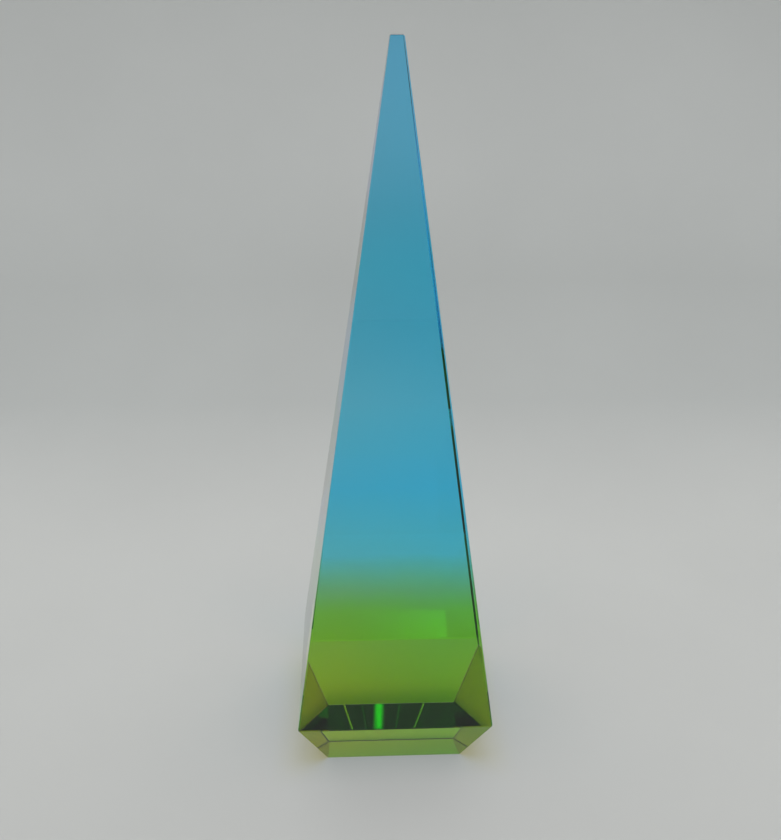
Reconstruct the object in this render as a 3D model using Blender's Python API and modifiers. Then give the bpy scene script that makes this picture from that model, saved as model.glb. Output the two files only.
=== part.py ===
"""Crystal obelisk award.

One block of optical crystal, ground to a tapering square shaft on an undercut foot, with a transparent
colour coating behind it: on the rear shaft facet, and on the rear and side foot facets. The front faces -Y,
the origin is the centre of the resting face, and +Z points up the shaft.
"""
import bpy
import bmesh
from mathutils import Matrix, Vector

# Driving dimensions, in metres
HEIGHT = 0.238
GIRDLE_WIDTH = 0.066          # between opposite shaft facets at the height of the girdle
GIRDLE_HEIGHT = 0.0213        # where the front and side shaft facets meet their foot facets
REAR_GIRDLE_HEIGHT = 0.0237   # the rear foot facet is ground a little higher
TOP_WIDTH = 0.004
FOOT_WIDTH = 0.0474
SHAFT_ARRIS = 0.0004          # flat polished on the four long edges, as cut back along each facet
SHARP_ARRIS = 0.0003          # and on every other edge
COATING_THICKNESS = 0.0003
COATING_GAP = 0.0003          # clear space kept between two separate solids
COATING_MARGIN = 0.0012       # bare rim left between the coating and the facet's edge

# Outward direction and girdle height of each side of the block
SIDES = {
    "front": (Vector((0, -1, 0)), GIRDLE_HEIGHT),
    "rear": (Vector((0, 1, 0)), REAR_GIRDLE_HEIGHT),
    "left": (Vector((-1, 0, 0)), GIRDLE_HEIGHT),
    "right": (Vector((1, 0, 0)), GIRDLE_HEIGHT),
}
UP = Vector((0, 0, 1))
WELD = 1e-7                   # points nearer than this to a grinding plane count as on it

# Base colour and roughness of each material
CRYSTAL_FINISH = ((0.80, 0.90, 0.90, 1.0), 0.02)
SHAFT_COATING_FINISH = ((0.06, 0.30, 0.38, 1.0), 0.08)
REAR_COATING_FINISH = ((0.12, 0.24, 0.03, 1.0), 0.08)
SIDE_COATING_FINISH = ((0.24, 0.19, 0.03, 1.0), 0.08)


def shaft_half_width(height):
    """Distance from the axis to every shaft facet at a height."""
    taper = (GIRDLE_WIDTH - TOP_WIDTH) / 2 / (HEIGHT - GIRDLE_HEIGHT)
    return GIRDLE_WIDTH / 2 - taper * (height - GIRDLE_HEIGHT)


def foot_half_width(side, height):
    """Distance from the axis to one side's foot facet at a height."""
    girdle = SIDES[side][1]
    flare = (shaft_half_width(girdle) - FOOT_WIDTH / 2) / girdle
    return FOOT_WIDTH / 2 + flare * height


class Facet:
    """A flat facet of one side, between two heights, with its own across, uphill and outward directions."""

    def __init__(self, side, low, high, half_width):
        outward = SIDES[side][0]
        self.start = outward * half_width(low) + UP * low
        end = outward * half_width(high) + UP * high
        self.length = (end - self.start).length
        self.uphill = (end - self.start).normalized()
        self.across = UP.cross(outward)
        self.outward = self.across.cross(self.uphill)

    def frame(self, lift):
        """Matrix of the facet's frame, lifted off the facet."""
        turn = Matrix((self.across, self.uphill, self.outward)).transposed()
        return Matrix.Translation(self.start + self.outward * lift) @ turn.to_4x4()


def shaft_facet(side):
    return Facet(side, SIDES[side][1], HEIGHT, shaft_half_width)


def foot_facet(side):
    return Facet(side, 0.0, SIDES[side][1], lambda height: foot_half_width(side, height))


def clear_scene():
    for thing in list(bpy.data.objects):
        bpy.data.objects.remove(thing, do_unlink=True)


def new_material(name, finish):
    color, roughness = finish
    material = bpy.data.materials.new(name)
    material.use_nodes = True
    shader = material.node_tree.nodes["Principled BSDF"]
    shader.inputs["Base Color"].default_value = color
    shader.inputs["Roughness"].default_value = roughness
    shader.inputs["Metallic"].default_value = 0.0
    return material


def add_object(name, data, collection, finish):
    """Link one named sub-part with a material of its own."""
    data.materials.append(new_material(name, finish))
    thing = bpy.data.objects.new(name, data)
    collection.objects.link(thing)
    return thing


def grind(block, point, outward):
    """Cut the block back to a plane and close the cut with one flat facet."""
    whole = block.verts[:] + block.edges[:] + block.faces[:]
    cut = bmesh.ops.bisect_plane(
        block, geom=whole, dist=WELD, plane_co=point, plane_no=outward, clear_outer=True
    )
    rim = [item for item in cut["geom_cut"] if isinstance(item, bmesh.types.BMEdge)]
    bmesh.ops.edgeloop_fill(block, edges=rim)


def is_long_edge(edge):
    """True for the four edges that run up the shaft."""
    low, high = sorted(vert.co.z for vert in edge.verts)
    return high > HEIGHT - WELD and low < HEIGHT / 2


def build_crystal(collection):
    """The block: a rough blank ground to eight side facets, its edges then flattened."""
    block = bmesh.new()
    bmesh.ops.create_cube(block, size=1.0)
    bmesh.ops.scale(block, vec=(2 * GIRDLE_WIDTH, 2 * GIRDLE_WIDTH, HEIGHT), verts=block.verts)
    bmesh.ops.translate(block, vec=UP * HEIGHT / 2, verts=block.verts)
    for side in SIDES:
        for facet in (shaft_facet(side), foot_facet(side)):
            grind(block, facet.start, facet.outward)
    bmesh.ops.recalc_face_normals(block, faces=block.faces)
    weight = block.edges.layers.float.new("bevel_weight_edge")
    for edge in block.edges:
        edge[weight] = 1.0 if is_long_edge(edge) else SHARP_ARRIS / SHAFT_ARRIS
    mesh = bpy.data.meshes.new("crystal_body")
    block.to_mesh(mesh)
    block.free()
    crystal = add_object("crystal_body", mesh, collection, CRYSTAL_FINISH)
    arris = crystal.modifiers.new("polished arrises", "BEVEL")
    arris.limit_method = "WEIGHT"
    arris.width = SHAFT_ARRIS
    arris.segments = 1


def build_coating(name, facet, low_edges, high_edges, collection, finish):
    """A thin plate over one facet, leaving a bare rim.

    low_edges and high_edges are the facet's two side edges, across the facet from its middle, at its lower
    and its upper end.
    """
    rim = COATING_MARGIN
    low = rim
    high = facet.length - rim

    def edge(which, distance):
        share = distance / facet.length
        bound = low_edges[which] + (high_edges[which] - low_edges[which]) * share
        return bound + (rim if which == 0 else -rim)

    corners = [(edge(0, low), low), (edge(1, low), low), (edge(1, high), high), (edge(0, high), high)]
    outline = bpy.data.curves.new(name, "CURVE")
    outline.dimensions = "2D"
    outline.fill_mode = "BOTH"
    outline.extrude = COATING_THICKNESS / 2
    line = outline.splines.new("POLY")
    line.points.add(len(corners) - 1)
    for point, (across, uphill) in zip(line.points, corners):
        point.co = (across, uphill, 0.0, 1.0)
    line.use_cyclic_u = True
    plate = add_object(name, outline, collection, finish)
    plate.matrix_world = facet.frame(COATING_GAP + COATING_THICKNESS / 2)


def build_shaft_coating(collection):
    half_low = shaft_half_width(REAR_GIRDLE_HEIGHT)
    half_top = TOP_WIDTH / 2
    build_coating(
        "rear_colour_film", shaft_facet("rear"), (-half_low, half_low), (-half_top, half_top), collection,
        SHAFT_COATING_FINISH,
    )


def build_rear_foot_coating(collection):
    half_low = FOOT_WIDTH / 2
    half_high = foot_half_width("left", GIRDLE_HEIGHT)
    build_coating(
        "rear_foot_film", foot_facet("rear"), (-half_low, half_low), (-half_high, half_high), collection,
        REAR_COATING_FINISH,
    )


def build_side_foot_coating(name, side, collection):
    """The side facets run from the front mitre to the rear one, which is set further in."""
    facet = foot_facet(side)
    front = foot_half_width("front", GIRDLE_HEIGHT)
    rear = foot_half_width("rear", GIRDLE_HEIGHT)
    half_low = FOOT_WIDTH / 2
    # Across runs from front to rear on the right side, and from rear to front on the left
    high_edges = (-front, rear) if facet.across.y > 0 else (-rear, front)
    build_coating(name, facet, (-half_low, half_low), high_edges, collection, SIDE_COATING_FINISH)


def main():
    clear_scene()
    collection = bpy.data.collections.new("crystal obelisk award")
    bpy.context.scene.collection.children.link(collection)
    build_crystal(collection)
    build_shaft_coating(collection)
    build_rear_foot_coating(collection)
    build_side_foot_coating("left_foot_film", "left", collection)
    build_side_foot_coating("right_foot_film", "right", collection)


main()
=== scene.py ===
"""Looks of the crystal obelisk award: clear polished crystal with a colour coating behind it."""
from math import cos, pi, radians, sin, sqrt

import bmesh
import bpy
from mathutils import Matrix, Vector


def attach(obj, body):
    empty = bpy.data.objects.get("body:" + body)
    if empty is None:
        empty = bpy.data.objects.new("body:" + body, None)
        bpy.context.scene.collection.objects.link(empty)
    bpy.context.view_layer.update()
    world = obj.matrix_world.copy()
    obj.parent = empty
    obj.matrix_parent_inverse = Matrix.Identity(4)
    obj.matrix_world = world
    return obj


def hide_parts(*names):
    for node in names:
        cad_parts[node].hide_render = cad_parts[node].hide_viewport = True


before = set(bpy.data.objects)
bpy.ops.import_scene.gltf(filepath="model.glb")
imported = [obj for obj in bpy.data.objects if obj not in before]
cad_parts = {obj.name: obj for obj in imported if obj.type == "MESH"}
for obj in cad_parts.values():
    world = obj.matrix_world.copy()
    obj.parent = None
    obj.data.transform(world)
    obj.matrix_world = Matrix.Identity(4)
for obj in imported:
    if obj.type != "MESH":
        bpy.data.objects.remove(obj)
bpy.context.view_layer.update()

# Lengths are in metres unless a comment says otherwise.
UNIT = (0.0, 1.0)
WHITE = (1.0, 1.0, 1.0)

# Crystal
CRYSTAL_IOR = 1.517
GLASS_COLORS = ((0.982, 0.994, 0.990), (0.992, 0.998, 0.996))   # the striae vary between these
STRIAE_SCALE = 45.0
STRIAE_DETAIL = 2.0
SHADOW_COLOR = (0.93, 0.95, 0.94)   # what each face of the crystal lets through to a shadow

# Coating sheets
COATING_DEPTH = 0.00006     # how far inside the polished facet a sheet lies
COATING_THICKNESS = 0.00003
GIRDLE_SPLIT = 0.0236       # rear facets with their middle above this carry the shaft coating
FACING = 0.3                # a facet faces an axis when its normal reaches further than this along it
UNDERCUT = (-0.9, -0.2)     # the range of a side foot facet's normal along Z
WELD = 1e-6                 # corners nearer than this are one
FLAT = 0.005                # faces that meet at less than this angle, in radians, are one facet

# Light the coatings let through, as (height, colour) from the foot up
SHAFT_COLORS = [
    (0.022, (0.22, 0.68, 0.02)),    # leaf green
    (0.036, (0.19, 0.68, 0.07)),
    (0.047, (0.17, 0.64, 0.30)),    # sea green
    (0.062, (0.10, 0.68, 0.85)),    # turquoise
    (0.090, (0.06, 0.64, 1.00)),    # azure
    (0.124, (0.12, 0.67, 0.98)),
    (0.170, (0.10, 0.69, 1.00)),
    (0.236, (0.14, 0.64, 1.00)),
]
REAR_FOOT_COLORS = [
    (0.000, (0.34, 0.60, 0.01)),    # olive
    (0.024, (0.22, 0.58, 0.05)),
]
SIDE_FOOT_COLORS = [
    (0.000, (0.86, 0.76, 0.34)),    # amber
    (0.022, (0.88, 0.79, 0.40)),
]
LEFT_TINT = (1.25, 1.00, 0.95)      # the rear coatings are a little warmer on the left
RIGHT_TINT = (0.90, 1.00, 1.00)
COLOR_SPAN = 0.02                   # half the width over which that tint changes
UNEVENNESS = 0.003                  # how far the colour bands wander up and down
UNEVEN_SCALE = 28.0
UNEVEN_DETAIL = 3.0

# Camera, fitted to the photograph's edges and rounded: sensor and lens are in millimetres
CAMERA_PLACE = Vector((-0.0143, -0.2815, 0.2547))
CAMERA_PAN = radians(2.7)
CAMERA_PITCH = radians(25.3)
CAMERA_ROLL = radians(0.44)
CAMERA_LENS = 41.1
CAMERA_SENSOR = 36.0
CAMERA_NEAR = 0.01
CAMERA_FAR = 20.0

# Backdrop sweep
FLOOR_LEVEL = -0.0002       # a hair of air under the foot, which stays a mirror from inside
FLOOR_FRONT = 3.0
FLOOR_BACK = 0.10
SWEEP_RADIUS = 0.25
WALL_HEIGHT = 1.1
BACKDROP_HALF_WIDTH = 3.0
SWEEP_STEPS = 24

# Backdrop paper
PAPER_TONES_WITH_PAINTED_SHADE = [             # (height, colour): the paper's colour with painted shade low on the sweep and painted light up the wall
    (0.00, (0.67, 0.68, 0.665)),
    (0.03, (0.57, 0.59, 0.58)),
    (0.08, (0.56, 0.58, 0.57)),
    (0.14, (0.64, 0.66, 0.65)),
    (0.25, (0.71, 0.73, 0.72)),
]
PAPER_ROUGHNESS = 0.85
PAPER_SPECULAR = 0.2
MOTTLE_SCALE = 9.0
MOTTLE_DETAIL = 5.0
MOTTLE_SHADE = (0.95, 1.05)  # the paper's brightness varies between these

# Room: (sine of the elevation, light)
ROOM_TONES = [
    (0.00, 0.20),
    (0.14, 0.80),
    (0.50, 0.10),
]
# Windows high in front: (azimuth, elevation), (half width, half height) out to the edge, light.
# All four angles are in degrees.
WINDOWS = [
    ((160.0, 68.5), (8.0, 5.5), 3.0),
    ((177.2, 58.6), (0.37, 7.0), 3.0),
]

# Softbox overhead: its power is in watts
LAMP_PLACE = Vector((0.0, -0.1, 1.7))
LAMP_TARGET = Vector((0.0, 0.15, 0.0))
LAMP_SIZE = (1.6, 1.2)
LAMP_POWER = 18.5

# How many times light may bounce in the crystal, pass a clear surface or bounce off the paper
CRYSTAL_BOUNCES = 48
SHEET_PASSES = 64
DIFFUSE_BOUNCES = 4


def opaque(color):
    return (*color, 1.0)


def one_face(color):
    """A sheet's two faces share its filtering, so each takes the square root."""
    return opaque(sqrt(part) for part in color)


def add_object(name, data):
    added = bpy.data.objects.new(name, data)
    bpy.context.collection.objects.link(added)
    return added


def mesh_object(name, block, material):
    """Turn a bmesh into an object of one material."""
    mesh = bpy.data.meshes.new(name)
    block.to_mesh(mesh)
    block.free()
    mesh.materials.append(material)
    return add_object(name, mesh)


def new_material(name):
    """A bare node material, its tree and the socket that takes its surface."""
    material = bpy.data.materials.new(name)
    material.use_nodes = True
    tree = material.node_tree
    tree.nodes.clear()
    output = tree.nodes.new("ShaderNodeOutputMaterial")
    return material, tree, output.inputs["Surface"]


def coordinates(tree, kind):
    """One of the texture coordinates, whole and split into its axes."""
    place = tree.nodes.new("ShaderNodeTexCoord").outputs[kind]
    split = tree.nodes.new("ShaderNodeSeparateXYZ")
    tree.links.new(place, split.inputs[0])
    return place, split.outputs


def math_node(tree, operation, *values):
    node = tree.nodes.new("ShaderNodeMath")
    node.operation = operation
    for value, socket in zip(values, node.inputs):
        tree.links.new(value, socket)
    return node.outputs[0]


def map_range(tree, value, source, target, interpolation="LINEAR"):
    """Carry a value from one (start, end) range to another, without leaving the second."""
    node = tree.nodes.new("ShaderNodeMapRange")
    node.interpolation_type = interpolation
    ends = zip(("From Min", "From Max", "To Min", "To Max"), (*source, *target))
    for socket, number in ends:
        node.inputs[socket].default_value = number
    tree.links.new(value, node.inputs["Value"])
    return node.outputs[0]


def noise(tree, place, scale, detail):
    node = tree.nodes.new("ShaderNodeTexNoise")
    node.inputs["Scale"].default_value = scale
    node.inputs["Detail"].default_value = detail
    tree.links.new(place, node.inputs["Vector"])
    return node.outputs["Fac"]


def blend(tree, share, first, second):
    """The first colour where share is 0, and the second where it is 1."""
    node = tree.nodes.new("ShaderNodeMix")
    node.data_type = "RGBA"
    node.inputs["A"].default_value = first
    node.inputs["B"].default_value = second
    tree.links.new(share, node.inputs["Factor"])
    return node.outputs["Result"]


def fill_ramp(node, stops):
    """Set a colour ramp's points from (position, colour) pairs."""
    points = node.color_ramp.elements
    while len(points) < len(stops):
        points.new(0.5)
    for point, (position, color) in zip(points, stops):
        point.position = position
        point.color = color


def height_ramp(tree, height, stops):
    """Colours by height, from (height, colour) pairs."""
    low, high = stops[0][0], stops[-1][0]
    ramp = tree.nodes.new("ShaderNodeValToRGB")
    fill_ramp(ramp, [((level - low) / (high - low), color) for level, color in stops])
    tree.links.new(map_range(tree, height, (low, high), UNIT), ramp.inputs["Fac"])
    return ramp.outputs["Color"]


def uneven_height(tree, place, height):
    """Height with a slow wander, as a sprayed or vapour-laid coating has."""
    cloud = noise(tree, place, UNEVEN_SCALE, UNEVEN_DETAIL)
    wander = map_range(tree, cloud, UNIT, (-UNEVENNESS, UNEVENNESS))
    return math_node(tree, "ADD", height, wander)


def crystal_material():
    """Clear glass with faint striae, that light from the lamps passes straight through."""
    material, tree, surface = new_material("optical_crystal")
    place = tree.nodes.new("ShaderNodeTexCoord").outputs["Object"]
    striae = noise(tree, place, STRIAE_SCALE, STRIAE_DETAIL)
    pale, paler = GLASS_COLORS
    shader = tree.nodes.new("ShaderNodeBsdfPrincipled")
    shader.inputs["Transmission Weight"].default_value = 1.0
    shader.inputs["IOR"].default_value = CRYSTAL_IOR
    shader.inputs["Roughness"].default_value = 0.0
    tree.links.new(blend(tree, striae, opaque(pale), opaque(paler)), shader.inputs["Base Color"])
    clear = tree.nodes.new("ShaderNodeBsdfTransparent")
    clear.inputs["Color"].default_value = opaque(SHADOW_COLOR)
    rays = tree.nodes.new("ShaderNodeLightPath")
    mix = tree.nodes.new("ShaderNodeMixShader")
    tree.links.new(rays.outputs["Is Shadow Ray"], mix.inputs["Fac"])
    tree.links.new(shader.outputs[0], mix.inputs[1])
    tree.links.new(clear.outputs[0], mix.inputs[2])
    tree.links.new(mix.outputs[0], surface)
    return material


def coating_material(name, stops, left_tint, right_tint):
    """A clear colour filter whose colour changes with height, and is tinted from left to right."""
    material, tree, surface = new_material(name)
    place, axes = coordinates(tree, "Object")
    height = uneven_height(tree, place, axes["Z"])
    across = map_range(tree, axes["X"], (-COLOR_SPAN, COLOR_SPAN), UNIT)
    tint = blend(tree, across, one_face(left_tint), one_face(right_tint))
    film = height_ramp(tree, height, [(level, one_face(color)) for level, color in stops])
    product = tree.nodes.new("ShaderNodeVectorMath")
    product.operation = "MULTIPLY"
    tree.links.new(film, product.inputs[0])
    tree.links.new(tint, product.inputs[1])
    shader = tree.nodes.new("ShaderNodeBsdfTransparent")
    tree.links.new(product.outputs[0], shader.inputs["Color"])
    tree.links.new(shader.outputs[0], surface)
    return material


def merged_crystal():
    """The crystal's facets as whole polygons, drawn in by the coating's depth."""
    block = bmesh.new()
    block.from_mesh(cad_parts["crystal_body"].data)
    bmesh.ops.remove_doubles(block, verts=block.verts, dist=WELD)
    bmesh.ops.dissolve_limit(block, angle_limit=FLAT, verts=block.verts, edges=block.edges)
    block.normal_update()
    moves = [(vert, vert.normal * vert.calc_shell_factor() * COATING_DEPTH) for vert in block.verts]
    for vert, move in moves:
        vert.co -= move
    return block


def coating_sheet(name, node, covers, material):
    """A thin sheet inside the crystal facets that covers() picks, for one of the CAD's films."""
    block = merged_crystal()
    bare = [face for face in block.faces if not covers(face)]
    bmesh.ops.delete(block, geom=bare, context="FACES")
    piece = mesh_object(name, block, material)
    body = piece.modifiers.new("thickness", "SOLIDIFY")
    body.thickness = COATING_THICKNESS
    body.offset = -1.0      # inwards
    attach(piece, "root")
    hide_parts(node)


def is_rear(face):
    return face.normal.y > FACING


def is_side_foot(face):
    return abs(face.normal.y) < FACING and UNDERCUT[0] < face.normal.z < UNDERCUT[1]


def covers_shaft(face):
    above_girdle = face.calc_center_median().z > GIRDLE_SPLIT
    return is_rear(face) and above_girdle and face.normal.z > -FACING


def covers_rear_foot(face):
    return is_rear(face) and not covers_shaft(face)


def covers_left_foot(face):
    return is_side_foot(face) and face.normal.x < -FACING


def covers_right_foot(face):
    return is_side_foot(face) and face.normal.x > FACING


def dress():
    """Glass for the crystal, and a colour sheet for each film."""
    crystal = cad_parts["crystal_body"]
    crystal.material_slots[0].material = crystal_material()
    shaft = coating_material("shaft_coating", SHAFT_COLORS, LEFT_TINT, RIGHT_TINT)
    rear_foot = coating_material("rear_foot_coating", REAR_FOOT_COLORS, LEFT_TINT, RIGHT_TINT)
    side_foot = coating_material("side_foot_coating", SIDE_FOOT_COLORS, WHITE, WHITE)
    coating_sheet("shaft_colour_sheet", "rear_colour_film",
                  covers_shaft, shaft)
    coating_sheet("rear_foot_colour_sheet", "rear_foot_film",
                  covers_rear_foot, rear_foot)
    coating_sheet("left_foot_colour_sheet", "left_foot_film",
                  covers_left_foot, side_foot)
    coating_sheet("right_foot_colour_sheet", "right_foot_film",
                  covers_right_foot, side_foot)


def paper_material():
    """Matt pale paper with a faint mottle, with painted shade darkest low on the sweep and painted
    light up the wall.
    """
    material, tree, surface = new_material("backdrop_paper")
    place, axes = coordinates(tree, "Object")
    # The paper's colour by height holds painted shade low on the sweep and painted light up the wall.
    paper_with_painted_shade = height_ramp(tree, axes["Z"], [(level, opaque(color)) for level, color in PAPER_TONES_WITH_PAINTED_SHADE])
    mottle = map_range(tree, noise(tree, place, MOTTLE_SCALE, MOTTLE_DETAIL), UNIT, MOTTLE_SHADE)
    shade = tree.nodes.new("ShaderNodeVectorMath")
    shade.operation = "SCALE"
    tree.links.new(paper_with_painted_shade, shade.inputs[0])
    tree.links.new(mottle, shade.inputs["Scale"])
    shader = tree.nodes.new("ShaderNodeBsdfPrincipled")
    shader.inputs["Roughness"].default_value = PAPER_ROUGHNESS
    shader.inputs["Specular IOR Level"].default_value = PAPER_SPECULAR
    tree.links.new(shade.outputs[0], shader.inputs["Base Color"])
    tree.links.new(shader.outputs[0], surface)
    return material


def backdrop():
    """A seamless sheet: flat floor, swept up into a wall behind."""
    profile = [(-FLOOR_FRONT, FLOOR_LEVEL), (FLOOR_BACK, FLOOR_LEVEL)]
    for step in range(1, SWEEP_STEPS + 1):
        angle = step / SWEEP_STEPS * pi / 2
        y = FLOOR_BACK + SWEEP_RADIUS * sin(angle)
        z = FLOOR_LEVEL + SWEEP_RADIUS * (1 - cos(angle))
        profile.append((y, z))
    profile.append((FLOOR_BACK + SWEEP_RADIUS, WALL_HEIGHT))
    sheet = bmesh.new()
    rows = []
    for y, z in profile:
        rows.append([sheet.verts.new((x, y, z)) for x in (-BACKDROP_HALF_WIDTH, BACKDROP_HALF_WIDTH)])
    for (a, b), (c, d) in zip(rows, rows[1:]):
        sheet.faces.new((a, b, d, c))
    floor = mesh_object("backdrop", sheet, paper_material())
    floor.data.shade_smooth()


def toward(azimuth, elevation):
    """A direction by azimuth from +Y towards +X and by elevation, both in degrees."""
    turn, rise = radians(azimuth), radians(elevation)
    return Vector((sin(turn) * cos(rise), cos(turn) * cos(rise), sin(rise)))


def window(tree, way, heading, reach, light):
    """Light from one soft-edged patch of the room, fading from its middle to its edge.

    The patch has a twin straight opposite, which the floor hides.
    """
    azimuth, elevation = heading
    sideways = toward(azimuth + 90.0, 0.0)
    upward = toward(azimuth, elevation + 90.0)
    shares = []
    for axis, edge in zip((sideways, upward), reach):
        along = tree.nodes.new("ShaderNodeVectorMath")
        along.operation = "DOT_PRODUCT"
        along.inputs[1].default_value = axis
        tree.links.new(way, along.inputs[0])
        offset = math_node(tree, "ABSOLUTE", along.outputs["Value"])
        fade = (sqrt(light), 0.0)
        shares.append(map_range(tree, offset, (0.0, sin(radians(edge))), fade, "SMOOTHSTEP"))
    return math_node(tree, "MULTIPLY", *shares)


def room():
    """A dim room, brightest just above the horizon, with soft windows high in front."""
    world = bpy.data.worlds.new("studio")
    world.use_nodes = True
    tree = world.node_tree
    way, axes = coordinates(tree, "Generated")
    haze = tree.nodes.new("ShaderNodeValToRGB")
    haze.color_ramp.interpolation = "EASE"
    fill_ramp(haze, [(level, (light, light, light, 1.0)) for level, light in ROOM_TONES])
    tree.links.new(axes["Z"], haze.inputs["Fac"])
    total = haze.outputs["Color"]
    for heading, reach, light in WINDOWS:
        total = math_node(tree, "ADD", total, window(tree, way, heading, reach, light))
    background = tree.nodes["Background"]
    background.inputs["Color"].default_value = opaque(WHITE)
    tree.links.new(total, background.inputs["Strength"])
    bpy.context.scene.world = world


def softbox():
    """A wide lamp overhead, which mirrors and glass don't show."""
    data = bpy.data.lights.new("overhead", "AREA")
    data.shape = "RECTANGLE"
    data.size, data.size_y = LAMP_SIZE
    data.energy = LAMP_POWER
    lamp = add_object("overhead", data)
    lamp.location = LAMP_PLACE
    lamp.rotation_mode = "QUATERNION"
    lamp.rotation_quaternion = (LAMP_PLACE - LAMP_TARGET).to_track_quat("Z", "Y")
    lamp.visible_glossy = False
    lamp.visible_transmission = False


def camera():
    forward = Vector((
        sin(CAMERA_PAN) * cos(CAMERA_PITCH),
        cos(CAMERA_PAN) * cos(CAMERA_PITCH),
        -sin(CAMERA_PITCH),
    ))
    right = Vector((cos(CAMERA_PAN), -sin(CAMERA_PAN), 0.0))
    up = right.cross(forward)
    turned_right = right * cos(CAMERA_ROLL) + up * sin(CAMERA_ROLL)
    turned_up = up * cos(CAMERA_ROLL) - right * sin(CAMERA_ROLL)
    data = bpy.data.cameras.new("camera")
    data.lens = CAMERA_LENS
    data.sensor_width = CAMERA_SENSOR
    data.clip_start = CAMERA_NEAR
    data.clip_end = CAMERA_FAR
    viewer = add_object("camera", data)
    turn = Matrix((turned_right, turned_up, -forward)).transposed()
    viewer.matrix_world = Matrix.Translation(CAMERA_PLACE) @ turn.to_4x4()
    bpy.context.scene.camera = viewer


def render_options():
    """Enough bounces for light to find its way out of the crystal."""
    scene = bpy.context.scene
    scene.view_settings.view_transform = "Standard"
    cycles = scene.cycles
    cycles.max_bounces = CRYSTAL_BOUNCES
    cycles.transmission_bounces = CRYSTAL_BOUNCES
    cycles.glossy_bounces = CRYSTAL_BOUNCES
    cycles.transparent_max_bounces = SHEET_PASSES
    cycles.diffuse_bounces = DIFFUSE_BOUNCES
    cycles.caustics_refractive = False
    cycles.caustics_reflective = False
    cycles.use_denoising = True


dress()
backdrop()
room()
softbox()
camera()
render_options()
